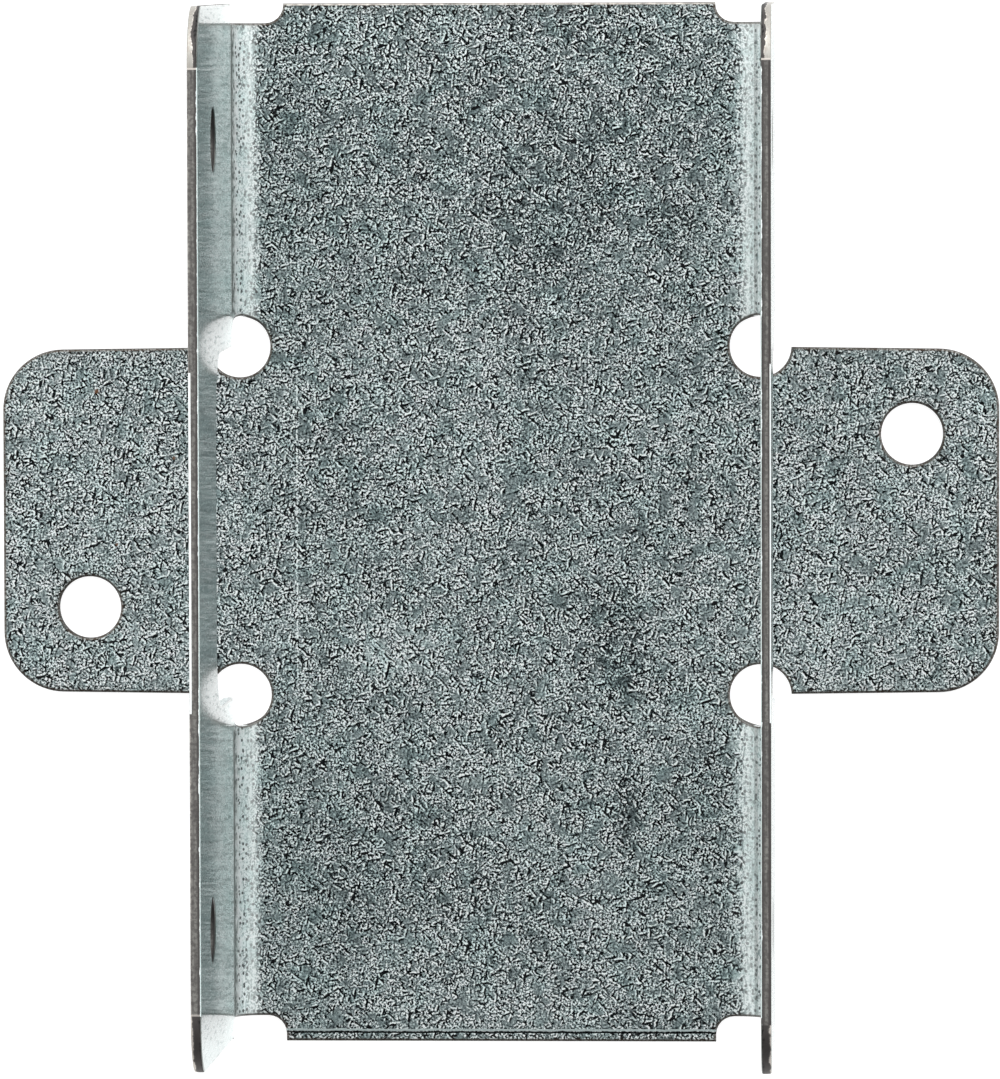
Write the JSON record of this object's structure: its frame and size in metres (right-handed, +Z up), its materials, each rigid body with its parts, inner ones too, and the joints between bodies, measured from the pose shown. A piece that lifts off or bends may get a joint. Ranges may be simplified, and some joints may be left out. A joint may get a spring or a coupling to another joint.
{
  "type": "rigid tie connector",
  "caption": "Folded galvanised sheet channel that ties two crossing timbers: flanges hold one, tabs lanced out of the flanges are screwed to the other.",
  "frame": {"origin": "middle of the base's underside, midway between the flanges and between the tab holes", "axes": "+Z up along the flanges, +Y along the channel, +X across it towards the right tab"},
  "size_m": [0.076, 0.0793, 0.0349],
  "materials": {
    "galvanised_sheet": "hot-dip galvanised, minimised spangle"
  },
  "bodies": {
    "root": {"connector_plate": "galvanised_sheet"}
  },
  "joints": []
}
